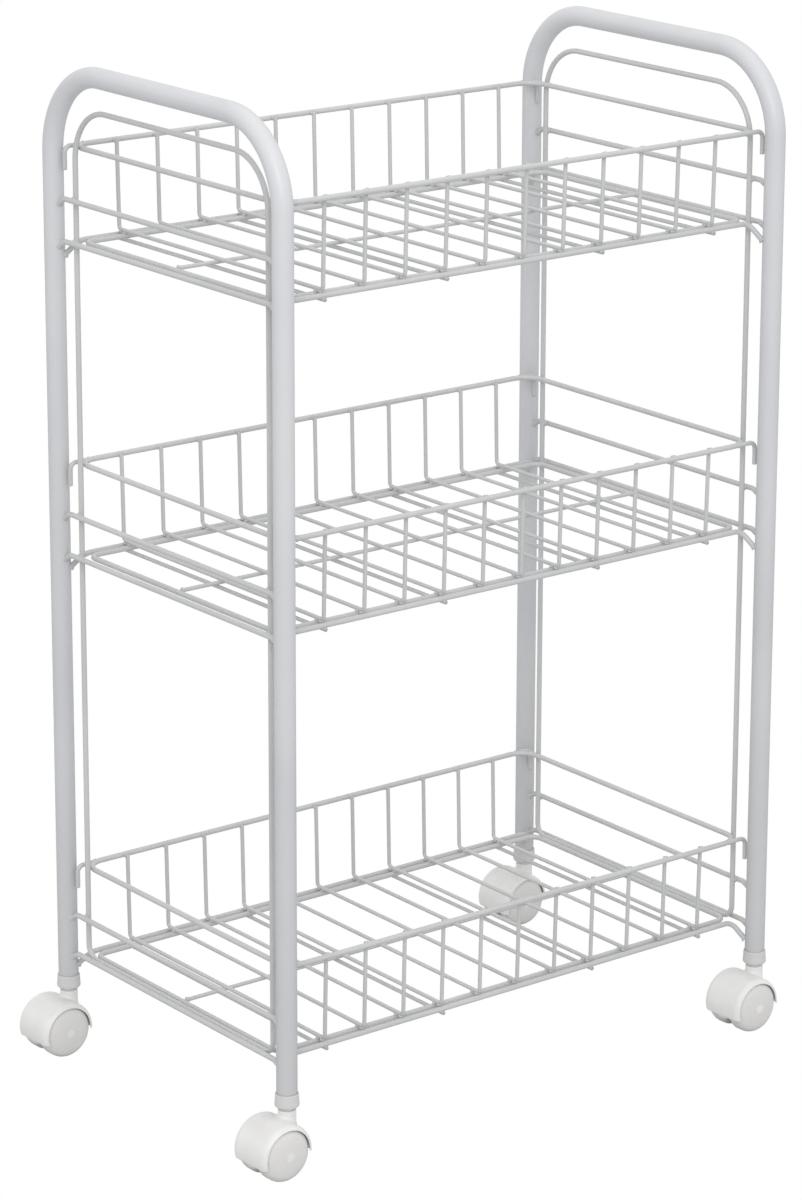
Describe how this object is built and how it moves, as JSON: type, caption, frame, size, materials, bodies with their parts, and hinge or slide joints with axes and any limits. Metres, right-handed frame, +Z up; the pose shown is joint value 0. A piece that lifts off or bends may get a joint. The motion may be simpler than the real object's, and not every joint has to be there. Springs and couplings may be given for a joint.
{
  "type": "rolling utility cart",
  "caption": "Rolling utility cart with bent-tube end frames, open wire baskets on three levels and swivelling twin-wheel casters.",
  "frame": {"origin": "on the floor under the middle of the cart's bounding box, with the casters trailing towards -X", "axes": "+Z up, X along the baskets' length with the two end frames at -X and +X, Y across the depth with -Y as the front"},
  "size_m": [0.4854, 0.3166, 0.752],
  "materials": {
    "powder_coated_steel": "satin light grey-white powder coat",
    "caster_plastic": "fine-grained warm white moulded plastic",
    "steel": "plain zinc-plated steel pin"
  },
  "bodies": {
    "frame": {"left_handle_tube": "powder_coated_steel", "left_wire_loop": "powder_coated_steel", "left_top_guard_rung": "powder_coated_steel", "left_top_floor_rung": "powder_coated_steel", "left_middle_guard_rung": "powder_coated_steel", "left_middle_floor_rung": "powder_coated_steel", "left_bottom_guard_rung": "powder_coated_steel", "left_bottom_floor_rung": "powder_coated_steel", "front_left_stem_socket": "caster_plastic", "back_left_stem_socket": "caster_plastic", "right_handle_tube": "powder_coated_steel", "right_wire_loop": "powder_coated_steel", "right_top_guard_rung": "powder_coated_steel", "right_top_floor_rung": "powder_coated_steel", "right_middle_guard_rung": "powder_coated_steel", "right_middle_floor_rung": "powder_coated_steel", "right_bottom_guard_rung": "powder_coated_steel", "right_bottom_floor_rung": "powder_coated_steel", "front_right_stem_socket": "caster_plastic", "back_right_stem_socket": "caster_plastic", "top_basket_rim": "powder_coated_steel", "top_basket_grid": "powder_coated_steel", "top_basket_floor_frame": "powder_coated_steel", "middle_basket_rim": "powder_coated_steel", "middle_basket_grid": "powder_coated_steel", "middle_basket_floor_frame": "powder_coated_steel", "bottom_basket_rim": "powder_coated_steel", "bottom_basket_grid": "powder_coated_steel", "bottom_basket_floor_frame": "powder_coated_steel"},
    "front_left_caster": {"front_left_caster_housing": "caster_plastic", "front_left_caster_stem": "steel", "front_left_caster_axle": "steel"},
    "front_left_front_wheel": {"front_left_front_wheel": "caster_plastic"},
    "front_left_back_wheel": {"front_left_back_wheel": "caster_plastic"},
    "back_left_caster": {"back_left_caster_housing": "caster_plastic", "back_left_caster_stem": "steel", "back_left_caster_axle": "steel"},
    "back_left_front_wheel": {"back_left_front_wheel": "caster_plastic"},
    "back_left_back_wheel": {"back_left_back_wheel": "caster_plastic"},
    "front_right_caster": {"front_right_caster_housing": "caster_plastic", "front_right_caster_stem": "steel", "front_right_caster_axle": "steel"},
    "front_right_front_wheel": {"front_right_front_wheel": "caster_plastic"},
    "front_right_back_wheel": {"front_right_back_wheel": "caster_plastic"},
    "back_right_caster": {"back_right_caster_housing": "caster_plastic", "back_right_caster_stem": "steel", "back_right_caster_axle": "steel"},
    "back_right_front_wheel": {"back_right_front_wheel": "caster_plastic"},
    "back_right_back_wheel": {"back_right_back_wheel": "caster_plastic"}
  },
  "joints": [
    {"name": "front_left_swivel", "type": "hinge", "parent": "frame", "child": "front_left_caster", "pos_m": [-0.20751, -0.13756, 0.049], "axis": [0, 0, 1], "continuous": true},
    {"name": "front_left_front_wheel_spin", "type": "hinge", "parent": "front_left_caster", "child": "front_left_front_wheel", "pos_m": [-0.22, -0.138, 0.02], "axis": [-0.0349, 0.9994, 0], "continuous": true},
    {"name": "front_left_back_wheel_spin", "type": "hinge", "parent": "front_left_caster", "child": "front_left_back_wheel", "pos_m": [-0.22, -0.138, 0.02], "axis": [-0.0349, 0.9994, 0], "continuous": true},
    {"name": "back_left_swivel", "type": "hinge", "parent": "frame", "child": "back_left_caster", "pos_m": [-0.20751, 0.13844, 0.049], "axis": [0, 0, 1], "continuous": true},
    {"name": "back_left_front_wheel_spin", "type": "hinge", "parent": "back_left_caster", "child": "back_left_front_wheel", "pos_m": [-0.22, 0.138, 0.02], "axis": [-0.0349, 0.9994, 0], "continuous": true},
    {"name": "back_left_back_wheel_spin", "type": "hinge", "parent": "back_left_caster", "child": "back_left_back_wheel", "pos_m": [-0.22, 0.138, 0.02], "axis": [-0.0349, 0.9994, 0], "continuous": true},
    {"name": "front_right_swivel", "type": "hinge", "parent": "frame", "child": "front_right_caster", "pos_m": [0.23249, -0.13756, 0.049], "axis": [0, 0, 1], "continuous": true},
    {"name": "front_right_front_wheel_spin", "type": "hinge", "parent": "front_right_caster", "child": "front_right_front_wheel", "pos_m": [0.22, -0.138, 0.02], "axis": [-0.0349, 0.9994, 0], "continuous": true},
    {"name": "front_right_back_wheel_spin", "type": "hinge", "parent": "front_right_caster", "child": "front_right_back_wheel", "pos_m": [0.22, -0.138, 0.02], "axis": [-0.0349, 0.9994, 0], "continuous": true},
    {"name": "back_right_swivel", "type": "hinge", "parent": "frame", "child": "back_right_caster", "pos_m": [0.23249, 0.13844, 0.049], "axis": [0, 0, 1], "continuous": true},
    {"name": "back_right_front_wheel_spin", "type": "hinge", "parent": "back_right_caster", "child": "back_right_front_wheel", "pos_m": [0.22, 0.138, 0.02], "axis": [-0.0349, 0.9994, 0], "continuous": true},
    {"name": "back_right_back_wheel_spin", "type": "hinge", "parent": "back_right_caster", "child": "back_right_back_wheel", "pos_m": [0.22, 0.138, 0.02], "axis": [-0.0349, 0.9994, 0], "continuous": true}
  ]
}
